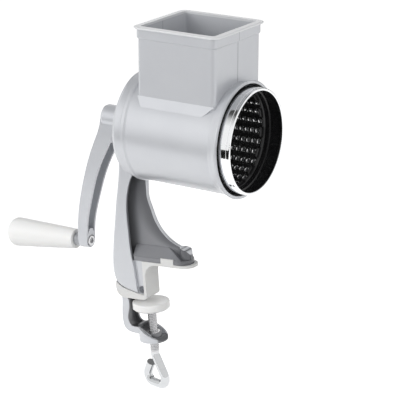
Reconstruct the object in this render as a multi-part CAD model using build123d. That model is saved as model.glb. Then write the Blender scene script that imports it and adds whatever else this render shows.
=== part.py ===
from build123d import *
import os

os.makedirs("parts", exist_ok=True)

# Frame: +Z is up, normal to the worktop.  +X points the way the food comes out of the drum.
# Y = 0 is the middle plane of the stand.  The origin is the middle of the clamping face under
# the foot.  Everything is in millimetres.
# Outlines are sketched with X = 0 on the axis of the clamp screw, and each finished piece is
# moved back by FACE_MID.  The drum group is drawn about its own axis: u runs along the axis,
# 0 at the drum's front edge.
FACE_MID = 30.0         # middle of the clamping face, ahead of the clamp screw

# ---- drum axis -----------------------------------------------------------------------------
AXIS_X = 119.2          # front centre of the drum, ahead of the clamp screw
AXIS_Z = 116.1          # front centre of the drum, above the worktop
DIP = 4.73              # degrees the drum axis drops towards the outlet

# ---- drum ----------------------------------------------------------------------------------
DRUM_R = 45.0           # outside radius of the bright front band
BAND_STEP = 2.1         # the punched wall lies this far inside the band
WALL_R = DRUM_R - BAND_STEP
SHEET = 0.8             # sheet thickness of the drum
BAND = 14.0             # length of the front band
DRUM_REAR = -95.0       # rear face of the drum
BEAD_R = 1.3            # rolled front bead
TOOTH_ROWS = 30         # rows of teeth round the drum
TOOTH_COLS = 13         # teeth in one row
TOOTH_PITCH = 5.2       # distance between teeth in a row
TOOTH_MARGIN = 8.0      # rear face of the drum to the first tooth of a row
HOLE_W = 2.8            # punched hole, along the axis
HOLE_L = 3.0            # punched hole, round the drum
TOOTH_H = 0.6           # height of a tooth above the wall
SHAFT_R = 5.0           # drum shaft
STUD_R = 4.0            # reduced end of the shaft that holds the crank
COLLAR_R = 8.5          # riveting collar of the shaft

# ---- housing -------------------------------------------------------------------------------
DRUM_RUN = 0.8          # room between the turning drum and the barrel
BARREL_T = 1.8          # wall of the barrel
BARREL_IN = DRUM_R + DRUM_RUN
BARREL_R = BARREL_IN + BARREL_T
MOUTH_U = -10.5         # front face of the housing
MOUTH_IN = BARREL_IN + 1.6    # opening at the mouth
MOUTH_R = MOUTH_IN + 2.5      # outside of the rolled lip
MOUTH_DEEP = 5.0        # depth of the widened mouth
RIDGE_R = BARREL_R + 1.1
REAR_GAP = 10.0         # rear of the drum to the joint face
REAR_U = DRUM_REAR - REAR_GAP  # joint face between housing and stand
SPIGOT_IN = 2.7         # the spigot is this much smaller than the bore of the barrel
SPIGOT_R = BARREL_IN - SPIGOT_IN
HOP_U0 = -94.8          # hopper body, rear and front
HOP_U1 = -19.5
HOP_HALF = 36.6         # half width of the hopper body
HOP_WALL = 2.0
HOP_TOP = 91.0          # underside of the rim flange
LIP_T = 2.0             # thickness of the rim flange
LIP_OUT = 3.6           # overhang of the rim flange
COLLAR_H = 8.6          # thickened band under the rim
COLLAR_T = 1.2
SEAM = 0.45             # width of the parting line

# ---- stand ---------------------------------------------------------------------------------
STAND_HALF = 11.0       # half width of the upright
STAND_WALL = 2.8
STAND_EDGE = 3.2        # rounding of the outer edges of the upright
DISH_T = 3.8            # wall of the dish round the spigot
DISH_R = SPIGOT_R + DISH_T
DISH_REAR = REAR_U - 9.5
BOSS_R = 13.0
BOSS_REAR = DISH_REAR - 13.5
BUSH_R = SHAFT_R + 2.0
BUSH_FACE = DISH_REAR + 2.6   # face of the boss that the bush's flange lies on
FOOT_HALF = 9.5         # half width of the foot
FOOT_T = 4.0            # thickness of the foot plate
LINER_T = 2.4           # thickness of the jaw liner
FIN_T = 3.6             # thickness of the middle web

# ---- crank ---------------------------------------------------------------------------------
HUB_R = 10.4
HUB_FRONT = BOSS_REAR - 1.5
HUB_REAR = HUB_FRONT - 22.5
ARM_TOP_HALF = 9.4      # half width of the arm at the hub
ARM_END_HALF = 6.4      # half width of the arm at the grip
ARM_RIM = 2.2           # thickness of the arm's edges
GRIP_Z = 12.4           # height of the grip axis
GRIP_X0 = -75.4         # arm end of the grip
GRIP_X1 = -147.0        # free end of the grip
GRIP_R0 = 8.9
GRIP_R1 = 13.2

# ---- clamp ---------------------------------------------------------------------------------
BRACKET_HALF = 9.0
BRACKET_EDGE = 1.8      # rounding of the bracket's outer edges
BOWL_R = 12.8           # round end of the clamp bracket
BOWL_Z = -73.0          # underside of the round end
PAD_R = 16.5
PAD_TOP = -36.8
PAD_T = 7.2
SCREW_R = 4.0
LOOP_TURN = -17.0       # degrees the loop is turned about the screw axis
LOOP_HALF = 17.2
LOOP_TOP = -87.0
LOOP_BASE = -114.5
TANG_SCREWS = (-6.5, -15.0)   # heights of the two screws that hold the bracket in the leg
TANG_HALF = 6.5         # half width of the bracket's tang

TO_DRUM = Location((AXIS_X, 0, AXIS_Z), (0, DIP, 0))
GAP = 0.04              # assembly gap between fixed round parts


def save(shape, name):
    """Move one piece to the part's frame and write it."""
    solids = (Pos(-FACE_MID, 0, 0) * shape).solids()
    piece = solids[0] if len(solids) == 1 else Compound(solids)
    print(name, len(solids), "solid(s)", round(piece.volume), "mm3")
    export_step(piece, "parts/" + name + ".step")


def tube(r_out, r_in, u0, u1):
    """Ring about the local X axis between two stations."""
    low = min(u0, u1)
    high = max(u0, u1)
    body = Cylinder(r_out, high - low, align=(Align.CENTER, Align.CENTER, Align.MIN))
    if r_in > 0:
        body -= Cylinder(r_in, high - low, align=(Align.CENTER, Align.CENTER, Align.MIN))
    return Location((low, 0, 0), (0, 90, 0)) * body


def turned(points):
    """Revolve a closed outline of (station, radius) pairs about the local X axis."""
    line = Polyline(*[(u, 0, r) for u, r in points], close=True)
    return revolve(make_face(line), Axis.X, 360)


def side_face(*edges):
    """Face in the XZ plane from edges given as lists of (x, z) points.

    A list of two points is a straight edge, a longer one a smooth curve.
    """
    parts = []
    for pts in edges:
        pts3 = [(x, 0, z) for x, z in pts]
        if len(pts3) == 2:
            parts.append(Line(*pts3))
        else:
            parts.append(Spline(*pts3))
    return make_face(Curve() + parts)


def across(face, y0, y1):
    """Extrude a face of the XZ plane from y0 to y1."""
    return Pos(0, y0, 0) * extrude(face, y1 - y0, dir=(0, 1, 0))


def longest_edges(body):
    """The longest edges of an extruded outline, one on each side of it."""
    length = max(edge.length for edge in body.edges())
    return [edge for edge in body.edges() if edge.length > 0.98 * length]


def box(x0, x1, y0, y1, z0, z1):
    """Box given by its limits."""
    size = Box(x1 - x0, y1 - y0, z1 - z0, align=(Align.MIN, Align.MIN, Align.MIN))
    return Pos(x0, y0, z0) * size


# ================================ drum group (local axis u) ================================

def tooth():
    """Cutting tooth raised on the edge of a punched hole: a three-sided peak on the wall's outside."""
    low = WALL_R - SHEET / 2
    start = -HOLE_L / 2 - 0.8
    return ConvexPolyhedron([(-HOLE_W / 2, start, low), (HOLE_W / 2, start, low), (0, start + 2.3, low),
                             (-0.3, start + 1.6, WALL_R + TOOTH_H), (0.3, start + 1.6, WALL_R + TOOTH_H)])


def drum_wall():
    """Punched wall: staggered rows of holes, each with a raised cutting tooth on its edge."""
    wall = tube(WALL_R, WALL_R - SHEET, DRUM_REAR, -BAND - 3)
    hole = Pos(0, 0, WALL_R) * Box(HOLE_W, HOLE_L, 4)
    peak = tooth()
    holes = []
    teeth = []
    for row in range(TOOTH_ROWS):
        first = DRUM_REAR + TOOTH_MARGIN + (TOOTH_PITCH / 2 if row % 2 else 0)
        for col in range(TOOTH_COLS):
            place = Rot(row * 360 / TOOTH_ROWS, 0, 0) * Pos(first + col * TOOTH_PITCH, 0, 0)
            holes.append(place * hole)
            teeth.append(place * peak)
    return wall.cut(*holes).fuse(*teeth)


def drum_band():
    """Smooth front band with a rolled bead, stepped down to slip over the wall."""
    r_in = DRUM_R - 0.9
    sleeve = WALL_R + GAP
    ring = turned([(-BAND - 5, sleeve), (-BAND - 5, sleeve + 0.7), (-BAND, sleeve + 0.8), (-BAND + 1, DRUM_R),
                   (-BEAD_R, DRUM_R), (-BEAD_R, r_in), (-BAND + 1.5, r_in), (-BAND + 0.8, sleeve)])
    bead = Location((-BEAD_R, 0, 0), (0, 90, 0)) * Torus(DRUM_R - BEAD_R, BEAD_R)
    groove = Location((-2 * BEAD_R - 0.5, 0, 0), (0, 90, 0)) * Torus(DRUM_R + 0.25, 0.55)
    return ring + bead - groove


def drum_plate():
    """Dished rear plate, its turned edge lying inside the wall."""
    r = WALL_R - SHEET - GAP
    u = DRUM_REAR
    return turned([(u, SHAFT_R + GAP), (u, 15), (u + 5, 22), (u + 5, 33), (u, r - 2), (u, r), (u + 7, r), (u + 7, r - 1),
                   (u + 1.2, r - 1), (u + 1.2, r - 2.4), (u + 6.2, 33.4), (u + 6.2, 21.5), (u + 1.2, 14.4),
                   (u + 1.2, SHAFT_R + GAP)])


def drum_spindle():
    """Shaft with a riveting collar inside the drum, a shoulder ahead of the bearing and a stud."""
    u = DRUM_REAR
    stop = BUSH_FACE + 1.3
    outline = [(u + 6, 0), (u + 6, 8), (u + 1.2, 11), (u + 1.2, SHAFT_R), (u, SHAFT_R), (u, COLLAR_R),
               (stop + 0.6, COLLAR_R), (stop, COLLAR_R - 0.6), (stop, SHAFT_R), (HUB_FRONT + 0.3, SHAFT_R),
               (HUB_FRONT + 0.3, STUD_R),
               (HUB_REAR + 5, STUD_R), (HUB_REAR + 4, STUD_R - 1), (HUB_REAR + 4, 0)]
    return turned(outline)


def mouth_seal():
    """Dark ring that closes the gap between the housing mouth and the turning drum."""
    r_out = MOUTH_IN - GAP
    r_in = DRUM_R + 0.35
    back = MOUTH_U - MOUTH_DEEP
    return turned([(back, r_in + 0.6), (back, r_out), (MOUTH_U - 1.4, r_out), (MOUTH_U - 1.9, r_in + 0.8),
                   (MOUTH_U - 2.6, r_in), (back + 1, r_in)])


def housing():
    """Barrel and hopper in one piece."""
    lip = MOUTH_U
    barrel = turned([(REAR_U - 5.2, 0), (REAR_U - 5.2, SPIGOT_R), (REAR_U, SPIGOT_R), (REAR_U, RIDGE_R - 0.9),
                     (REAR_U + 0.9, RIDGE_R), (REAR_U + 3.6, RIDGE_R), (REAR_U + 5.2, BARREL_R),
                     (lip - 9, BARREL_R), (lip - 5, BARREL_R + 0.9), (lip - 2.4, MOUTH_R - 0.4),
                     (lip - 1.4, MOUTH_R), (lip - 0.6, MOUTH_R), (lip, MOUTH_R - 0.6), (lip, 0)])
    hop_len = HOP_U1 - HOP_U0
    mid = (HOP_U0 + HOP_U1) / 2

    def block(grow, w0, w1, corner):
        shape = RectangleRounded(hop_len + 2 * grow, 2 * (HOP_HALF + grow), corner)
        return Pos(mid, 0, w0) * extrude(shape, w1 - w0)

    hopper = block(0, 12, HOP_TOP, 4.0)
    collar = block(COLLAR_T, HOP_TOP - COLLAR_H, HOP_TOP, 5.0)
    hopper += chamfer(collar.faces().sort_by(Axis.Z)[0].edges(), COLLAR_T * 0.9)
    rim = block(LIP_OUT, HOP_TOP, HOP_TOP + LIP_T, 7.0)
    hopper += fillet(rim.faces().sort_by(Axis.Z)[-1].edges() + rim.faces().sort_by(Axis.Z)[0].edges(), LIP_T * 0.42)
    skirt = Polyline((0, 30, 34.6), (0, HOP_HALF, 34.6), (0, 40.2, 26), (0, 30, 26), close=True)
    side = Pos(HOP_U0, 0, 0) * extrude(make_face(skirt), hop_len, dir=(1, 0, 0))
    trim = side_face([(HOP_U0 + 0.3, 34.6), (HOP_U1 - 0.3, 34.6)], [(HOP_U1 - 0.3, 34.6), (HOP_U1 - 10, 26)],
                     [(HOP_U1 - 10, 26), (HOP_U0 + 6, 26)], [(HOP_U0 + 6, 26), (HOP_U0 + 0.3, 34.6)])
    side = side & across(trim, 0, 60)
    hopper += side
    hopper += mirror(side, Plane.XZ)
    body = barrel + hopper
    body -= tube(BARREL_IN, 0, REAR_U + 3, lip - MOUTH_DEEP + 0.001)
    body -= tube(MOUTH_IN, 0, lip - MOUTH_DEEP, lip + 1)
    body -= tube(SPIGOT_R - 1.8, 0, REAR_U - 6, REAR_U + 4)
    body -= block(-HOP_WALL, 24, HOP_TOP + LIP_T + 1, 2.4)
    for u in (HOP_U0, HOP_U1):
        body -= Pos(u, 0, MOUTH_R + 0.5) * Box(0.5, SEAM, HOP_TOP - MOUTH_R, align=(Align.CENTER, Align.CENTER, Align.MIN))
    return body


# ================================ stand =====================================================

REAR_EDGE = [(-6.8, 128), (-8.2, 116), (-12.2, 106), (-15.4, 96), (-17.0, 84), (-19.2, 70), (-22.1, 56.4),
             (-25.3, 37.9), (-30.0, 9.9), (-31.1, -1.3), (-31.2, -6.0)]
LEG_LOW = [(-30.6, -13.0), (-28.2, -19.2), (-23.3, -23.2), (-16.1, -25.8), (-5.8, -28.2)]
WALL_FRONT = [(-5.8, -28.2), (-6.7, -20.3), (-8.5, -1.5), (-10.4, 12), (-11.0, 28), (-11.3, 44), (-10.5, 55.6),
              (-8.1, 66.6), (-4.6, 76), (1.5, 84)]
LEG_FRONT = 0.6         # front of the leg's block, where the throat liner lies
FIN_FRONT = [(6.5, 80), (5.8, 65.3), (6.1, 58), (8.4, 50.3), (13.5, 36.3), (22.4, 24.9), (34.2, 17.6),
             (41.5, 15.6)]


def shifted(points, dx, dz=0):
    """Copy of an outline moved sideways."""
    return [(x + dx, z + dz) for x, z in points]


def leg_side(front):
    """Side view of the upright and leg, from their rear and lower edge forward to a limit."""
    low = LEG_LOW[-1]
    return side_face(REAR_EDGE + LEG_LOW, [low, (front, low[1] - 0.7)], [(front, low[1] - 0.7), (front, 128)],
                     [(front, 128), REAR_EDGE[0]])


def upright():
    """Channel-section upright, open to the front, its outer edges well rounded."""
    outer = side_face(REAR_EDGE + LEG_LOW, WALL_FRONT, [WALL_FRONT[-1], (3.0, 128)], [(3.0, 128), REAR_EDGE[0]])
    body = across(outer, -STAND_HALF, STAND_HALF)
    body = fillet(longest_edges(body), STAND_EDGE)
    back = shifted(REAR_EDGE[3:10], 3.6)
    pocket = side_face(back, [back[-1], (10, back[-1][1])], [(10, back[-1][1]), (10, back[0][1])],
                       [(10, back[0][1]), back[0]])
    body -= across(pocket, -STAND_HALF + STAND_WALL, STAND_HALF - STAND_WALL)
    return body


def foot():
    """Foot plate, nose and middle web, with the block of the leg under the foot."""
    z0 = LINER_T
    nose = 41.6
    plate = Pos((nose - 8) / 2 - 2, 0, z0) * extrude(Rectangle(nose + 4, 2 * FOOT_HALF), FOOT_T)
    plate += Pos(nose - 4.8, 0, z0) * extrude(RectangleRounded(20, 2 * FOOT_HALF, 9), FOOT_T)
    outline = side_face([(-13.5, 80), (6.5, 80)], FIN_FRONT, [(41.5, 15.6), (45.6, 12.6), (46.6, 7.5), (45.8, z0)],
                        [(45.8, z0), (-24, z0)], [(-24, z0), (-22, 20)], [(-22, 20), (-13.5, 80)])
    web = across(outline, -FIN_T / 2, FIN_T / 2)
    fin_core = across(outline, -FOOT_HALF, FOOT_HALF)
    swell = Pos(nose - 0.6, 0, z0) * Cylinder(5.4, 20, align=(Align.CENTER, Align.CENTER, Align.MIN))
    hump = Pos(0, 0, z0) * loft([Pos(16, 0, FOOT_T) * Rectangle(50, 2 * FOOT_HALF - 1),
                                 Pos(8, 0, FOOT_T + 9) * Rectangle(34, FIN_T + 1)])
    shape = plate + web + (fin_core & swell) + (fin_core & hump)
    block = box(-27.5, LEG_FRONT, -STAND_HALF + STAND_WALL, STAND_HALF - STAND_WALL, -29, z0 + 0.5)
    return shape + (block & across(leg_side(LEG_FRONT), -30, 30))


def stand():
    """One casting: upright, leg, foot, round rear dish and crank bearing."""
    local = turned([(BOSS_REAR, 0), (BOSS_REAR, BOSS_R - 0.8), (BOSS_REAR + 0.8, BOSS_R), (DISH_REAR - 2, BOSS_R),
                    (DISH_REAR, BOSS_R + 3), (DISH_REAR, DISH_R - 3.2), (DISH_REAR + 0.9, DISH_R - 1.0),
                    (DISH_REAR + 3.2, DISH_R), (REAR_U - 0.7, DISH_R), (REAR_U, DISH_R - 0.7), (REAR_U, SPIGOT_R + GAP),
                    (DISH_REAR + 3.4, SPIGOT_R + GAP), (DISH_REAR + 3.4, 0)])
    for turn in (50, 130):
        web = Polyline((DISH_REAR + 1, 0, 8), (DISH_REAR + 1, 0, 38), (BOSS_REAR + 3, 0, 12), (BOSS_REAR + 3, 0, 8),
                       close=True)
        rib = Pos(0, -1.6, 0) * extrude(make_face(web), 3.2, dir=(0, 1, 0))
        local += Rot(turn - 90, 0, 0) * rib
    body = upright() + foot()
    body = body + TO_DRUM * local
    body -= TO_DRUM * tube(BUSH_R + GAP, 0, BOSS_REAR - 1, DISH_REAR + 6)
    body -= TO_DRUM * tube(9.4, 0, BUSH_FACE, REAR_U + 5)
    body -= TO_DRUM * tube(SPIGOT_R + GAP, 0, DISH_REAR + 3.4, -60)
    body -= TO_DRUM * tube(BOSS_R + 1.5, 0, HUB_REAR - 20, BOSS_REAR)
    body -= box(-25.1, -19.9, -TANG_HALF - 0.1, TANG_HALF + 0.1, -40, -4)
    for z in TANG_SCREWS:
        body -= Location((-40, 0, z), (0, 90, 0)) * Cylinder(2.15, 22, align=(Align.CENTER, Align.CENTER, Align.MIN))
        body -= Location((-40, 0, z), (0, 90, 0)) * Cylinder(3.8, 11, align=(Align.CENTER, Align.CENTER, Align.MIN))
    for side in (-1, 1):
        body -= Location((-2.6, side * 6.0, -24.6), (side * 90, 0, 0)) * Cylinder(3.5, 8)
    return body


def shaft_bush():
    """Flanged plain bearing pressed into the boss from the drum side."""
    return turned([(BOSS_REAR + 1, SHAFT_R + 0.05), (BOSS_REAR + 1, BUSH_R), (BUSH_FACE, BUSH_R), (BUSH_FACE, 9.2),
                   (BUSH_FACE + 1, 9.2), (BUSH_FACE + 1, SHAFT_R + 0.05)])


def jaw_liner():
    """Soft pad under the foot, down the throat and under the leg, clipped over the foot's edges."""
    t = LINER_T
    strip = side_face([(49.8, 0), (49.8, t)], [(49.8, t), (0.6, t)], [(0.6, t), (0.6, -20)], [(0.6, -20), (-28.4, -18.4)],
                      [(-28.4, -18.4), (-29.0, -22), (-28.6, -27.5), (-24.5, -32.2), (-19, -33.2)],
                      [(-19, -33.2), (-2, -33.2)], [(-2, -33.2), (2.2, -31.6), (3.0, -28)], [(3.0, -28), (3.0, -12)],
                      [(3.0, -12), (5.5, -4.2), (12.5, 0)], [(12.5, 0), (49.8, 0)])
    body = across(strip, -FOOT_HALF - 0.9, FOOT_HALF + 0.9)
    body += across(side_face([(20.5, 0.6), (33.3, 0.6)], [(33.3, 0.6), (33.3, 7.4)], [(33.3, 7.4), (20.5, 7.4)],
                             [(20.5, 7.4), (20.5, 0.6)]), -FOOT_HALF - 0.9, FOOT_HALF + 0.9)
    body -= box(-20, 60, -FOOT_HALF - GAP, FOOT_HALF + GAP, t, 20)
    body -= across(leg_side(LEG_FRONT), -30, 30)
    body -= box(-25.7, -19.1, -9.3, 9.3, -40, -10)
    cut = Pos(49.8, 0, -5) * Box(20, 40, 30, align=(Align.MAX, Align.CENTER, Align.MIN))
    tip = Pos(49.8 - 9.9, 0, -5) * Cylinder(FOOT_HALF + 0.9, 30, align=(Align.CENTER, Align.CENTER, Align.MIN))
    tip += Pos(49.8 - 9.9, 0, -5) * Box(12, 2 * FOOT_HALF + 1.8, 30, align=(Align.MAX, Align.CENTER, Align.MIN))
    return body - (cut - tip)


# ================================ crank and handle ==========================================

ARM_REAR = [(-32.0, 128), (-34.5, 119), (-39.0, 110), (-47.2, 94), (-56.9, 70), (-64.4, 46), (-68.4, 25), (-69.6, 4.4)]
ARM_FRONT = [(-60.3, 4.4), (-59.8, 12), (-57.6, 30), (-50.6, 53), (-41.6, 76.5), (-31.5, 95), (-23.5, 108), (-17.5, 121)]


def arm_front_view(inset):
    """Outline of the arm seen along X, as a block that trims its width."""
    top = ARM_TOP_HALF - inset
    end = ARM_END_HALF - inset
    low = GRIP_Z
    outline = Polyline((0, -end, low), (0, -end - 0.4, low + 20), (0, -top, 112), (0, -top, 138), (0, top, 138),
                       (0, top, 112), (0, end + 0.4, low + 20), (0, end, low), close=True)
    shape = extrude(make_face(outline), 100, dir=(-1, 0, 0))
    return shape + Location((0, 0, low), (0, -90, 0)) * Cylinder(end, 100, align=(Align.CENTER, Align.CENTER, Align.MIN))


def arm():
    """Hub and curved channel arm of the crank, hollow on the side that faces the stand."""
    outer = side_face(ARM_REAR, [ARM_REAR[-1], ARM_FRONT[0]], ARM_FRONT, [ARM_FRONT[-1], (-17.5, 128)],
                      [(-17.5, 128), ARM_REAR[0]])
    body = across(outer, -20, 20) & arm_front_view(0)
    floor = shifted(ARM_REAR[2:], 3.6)
    open_x = floor[-1][0] + 30
    hollow = side_face(floor, [floor[-1], (open_x, floor[-1][1])], [(open_x, floor[-1][1]), (20, 100)],
                       [(20, 100), (20, floor[0][1])], [(20, floor[0][1]), floor[0]])
    keep = box(-100, 40, -20, 20, GRIP_Z + 8.0, 106)
    end = Location((40, 0, GRIP_Z + 8.0), (0, -90, 0)) * Cylinder(ARM_END_HALF - ARM_RIM - 0.6, 140,
                                                                 align=(Align.CENTER, Align.CENTER, Align.MIN))
    body -= across(hollow, -20, 20) & arm_front_view(ARM_RIM) & (keep - end)
    hub = turned([(HUB_REAR, 0), (HUB_REAR, HUB_R - 2.6), (HUB_REAR + 0.8, HUB_R - 0.9), (HUB_REAR + 2.6, HUB_R),
                  (HUB_FRONT - 0.5, HUB_R), (HUB_FRONT, HUB_R - 0.5), (HUB_FRONT, 0)])
    body += TO_DRUM * hub
    body -= TO_DRUM * tube(6.0 + GAP, 0, HUB_REAR + 3.5, HUB_FRONT + 1)
    body -= Location((-90, 0, GRIP_Z), (0, 90, 0)) * Cylinder(3.05, 60, align=(Align.CENTER, Align.CENTER, Align.MIN))
    seat = Location((-63.4, 0, GRIP_Z), (0, 90, 0)) * Cylinder(5.2, 20, align=(Align.CENTER, Align.CENTER, Align.MIN))
    face = Location((-69.0, 0, GRIP_Z), (0, -90, 0)) * Cylinder(6.5, 6, align=(Align.CENTER, Align.CENTER, Align.MIN))
    return body - seat - face


def hub_insert():
    """Brass threaded insert in the hub, screwed onto the stud of the drum shaft."""
    return turned([(HUB_REAR + 3.5, STUD_R + GAP), (HUB_REAR + 3.5, 6.0), (HUB_FRONT, 6.0), (HUB_FRONT, STUD_R + GAP)])


def thrust_washer():
    """Washer between the hub and the bearing boss."""
    return tube(9.6, SHAFT_R + GAP, HUB_FRONT, HUB_FRONT + 1.2)


def along_grip(points):
    """Revolve (distance along the grip from the arm, radius) pairs about the grip axis."""
    line = Polyline(*[(GRIP_X0 - d, 0, GRIP_Z + r) for d, r in points], close=True)
    axis = Axis((0, 0, GRIP_Z), (1, 0, 0))
    return revolve(make_face(line), axis, 360)


GRIP_LEN = GRIP_X0 - GRIP_X1
NUT_AT = GRIP_LEN - 12.0


def grip():
    """Tapered handle with a rounded end, free to turn on its sleeve."""
    end = GRIP_LEN
    return along_grip([(0, 4.15), (0, GRIP_R0 - 0.8), (0.8, GRIP_R0), (end - 6, GRIP_R1), (end - 3.2, GRIP_R1 - 0.5),
                       (end - 1.2, GRIP_R1 - 2.0), (end, GRIP_R1 - 5.2), (end, 6.2), (NUT_AT - 0.4, 6.2),
                       (NUT_AT - 0.4, 4.15)])


def grip_plug():
    """Push-in cover over the nut in the end of the handle."""
    end = GRIP_LEN
    return along_grip([(end - 3.6, 0), (end - 3.6, 5.0), (end - 4.8, 5.0), (end - 4.8, 6.2 - GAP), (end + 0.2, 6.2 - GAP),
                       (end + 0.9, 4.8), (end + 1.2, 0)])


def grip_sleeve():
    """Steel sleeve the handle turns on."""
    return along_grip([(0, 3.04), (0, 4.08), (NUT_AT, 4.08), (NUT_AT, 3.04)])


def grip_spacer():
    """Collar between the arm and the handle."""
    return along_grip([(-6.4, 3.04), (-6.4, 5.6), (-6.0, 6.0), (-0.7, 6.0), (-0.3, 5.6), (-0.3, 4.08), (0, 4.08), (0, 3.04)])


def handle_bolt():
    """Socket-head bolt that carries the handle."""
    head = -16.4
    shape = along_grip([(head, 0), (head, 4.2), (head + 0.5, 4.7), (head + 3.6, 4.7), (head + 3.6, 3.0),
                        (NUT_AT + 6.8, 3.0), (NUT_AT + 7.6, 2.4), (NUT_AT + 7.6, 0)])
    socket = Location((GRIP_X0 - head + 1, 0, GRIP_Z), (0, -90, 0)) * extrude(RegularPolygon(2.9, 6), 3.4)
    return shape - socket


def bolt_washer():
    """Washer under the head of the handle bolt."""
    return along_grip([(-12.8, 3.05), (-12.8, 5.1), (-12.0, 5.1), (-12.0, 3.05)])


def grip_nut():
    """Washer-faced hexagon nut that holds the handle on the bolt."""
    hexagon = Location((GRIP_X0 - NUT_AT, 0, GRIP_Z), (0, -90, 0)) * extrude(RegularPolygon(5.6, 6), 5.4)
    face = along_grip([(NUT_AT, 3.04), (NUT_AT, 5.7), (NUT_AT + 1.0, 5.7), (NUT_AT + 1.0, 3.04)])
    bore = Location((GRIP_X0 + 10, 0, GRIP_Z), (0, -90, 0)) * Cylinder(3.04, 120,
                                                                      align=(Align.CENTER, Align.CENTER, Align.MIN))
    return hexagon + face - bore


# ================================ clamp =====================================================

def bracket():
    """Curved clamp bracket: a tang in the leg, a channel spine and a spoon-shaped end."""
    outer = side_face([(-25.4, -33.2), (-26.2, -46), (-26.4, -56), (-25.0, -61.4), (-21.0, -65.2), (-15.9, -66.4),
                       (-8.5, -67.4), (-2.0, -70.5), (3.0, BOWL_Z)],
                      [(3.0, BOWL_Z), (3.0, -66.6)],
                      [(3.0, -66.6), (-3.9, -62.6), (-10.0, -60.2), (-16.5, -59.6), (-19.0, -57), (-19.6, -50),
                       (-19.5, -33.2)],
                      [(-19.5, -33.2), (-25.4, -33.2)])
    arm_body = across(outer, -BRACKET_HALF, BRACKET_HALF)
    arm_body = fillet(longest_edges(arm_body), BRACKET_EDGE)
    hollow = side_face([(-22.3, -36), (-23.0, -46), (-23.0, -56), (-21.6, -60.4), (-17.6, -62.9), (-12.0, -63.6),
                        (-6.0, -65.6), (0, -69.0)],
                       [(0, -69.0), (0, -40)], [(0, -40), (0, -36)], [(0, -36), (-22.3, -36)])
    arm_body -= across(hollow, -BRACKET_HALF + 2.2, BRACKET_HALF - 2.2)
    bowl = Pos(0, 0, BOWL_Z) * Cylinder(BOWL_R, 14, align=(Align.CENTER, Align.CENTER, Align.MIN))
    bowl = bowl & (Pos(0, 0, BOWL_Z + 13.2) * Sphere(18.2))
    slope = side_face([(-30, -49.0), (-8.0, -60.3)], [(-8.0, -60.3), (30, -81.4)], [(30, -81.4), (30, -30)],
                      [(30, -30), (-30, -30)], [(-30, -30), (-30, -49.0)])
    bowl -= across(slope, -30, 30)
    dish = Location((1.2, 0, BOWL_Z + 9.2), (0, 0, 0)) * Sphere(11.2)
    trim = Pos(1.2, 0, BOWL_Z + 3.4) * Box(60, 60, 60, align=(Align.CENTER, Align.CENTER, Align.MIN))
    bowl -= (dish & trim) & Pos(0, 0, BOWL_Z) * Cylinder(BOWL_R - 1.6, 30, align=(Align.CENTER, Align.CENTER, Align.MIN))
    seat = Pos(0, 0, BOWL_Z) * Cylinder(7.4, 7.0, align=(Align.CENTER, Align.CENTER, Align.MIN))
    body = arm_body + bowl
    body -= Pos(0, 0, BOWL_Z + 7.0) * Cylinder(7.4, 30, align=(Align.CENTER, Align.CENTER, Align.MIN))
    body += seat
    body += box(-25.0, -20.0, -TANG_HALF, TANG_HALF, -36, -4)
    body -= Pos(0, 0, BOWL_Z - 5) * Cylinder(6.0 + GAP, 30, align=(Align.CENTER, Align.CENTER, Align.MIN))
    for z in TANG_SCREWS:
        body -= Location((-26, 0, z), (0, 90, 0)) * Cylinder(2.02, 12, align=(Align.CENTER, Align.CENTER, Align.MIN))
    return body


def clamp_nut():
    """Threaded insert of the bracket's round end, flanged underneath against the pull of the screw."""
    shape = Pos(0, 0, BOWL_Z - 1.2) * Cylinder(7.6, 1.2, align=(Align.CENTER, Align.CENTER, Align.MIN))
    shape += Pos(0, 0, BOWL_Z) * Cylinder(6.0, 8.0, align=(Align.CENTER, Align.CENTER, Align.MIN))
    return shape - Pos(0, 0, BOWL_Z - 2) * Cylinder(SCREW_R + 0.06, 12, align=(Align.CENTER, Align.CENTER, Align.MIN))


def bracket_screws():
    """Two screws through the back of the leg into the bracket's tang."""
    shapes = []
    for z in TANG_SCREWS:
        outline = Polyline((-32.0, 0, z), (-32.0, 0, z + 2.9), (-31.4, 0, z + 3.5), (-29.0, 0, z + 3.5), (-29.0, 0, z + 2.0),
                           (-20.6, 0, z + 2.0), (-20.0, 0, z + 1.4), (-20.0, 0, z), close=True)
        screw = revolve(make_face(outline), Axis((0, 0, z), (1, 0, 0)), 360)
        screw -= Location((-33, 0, z), (0, 90, 0)) * extrude(RegularPolygon(1.9, 6), 2.6)
        shapes.append(screw)
    return Compound([piece.solids()[0] for piece in shapes])


def pad():
    """Pressure disc with a rounded edge and a socket for the head of the screw."""
    z1 = PAD_TOP
    z0 = PAD_TOP - PAD_T
    outline = Polyline((0, 0, z1), (PAD_R - 1.0, 0, z1), (PAD_R - 0.3, 0, z1 - 0.3), (PAD_R, 0, z1 - 1.0), (PAD_R, 0, z0 + 1.4),
                       (PAD_R - 1.4, 0, z0), (6.6, 0, z0), (6.6, 0, z0 + 5.2), (0, 0, z0 + 5.2), close=True)
    return revolve(make_face(outline), Axis.Z, 360)


def pad_ring():
    """Ring pressed into the pad that traps the screw's head."""
    z0 = PAD_TOP - PAD_T
    ring = Pos(0, 0, z0) * Cylinder(6.6 - GAP, 1.8, align=(Align.CENTER, Align.CENTER, Align.MIN))
    wall = Pos(0, 0, z0) * Cylinder(6.6 - GAP, 5.2, align=(Align.CENTER, Align.CENTER, Align.MIN))
    wall -= Pos(0, 0, z0 - 1) * Cylinder(5.7, 10, align=(Align.CENTER, Align.CENTER, Align.MIN))
    return ring + wall - Pos(0, 0, z0 - 1) * Cylinder(3.15, 5, align=(Align.CENTER, Align.CENTER, Align.MIN))


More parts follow.
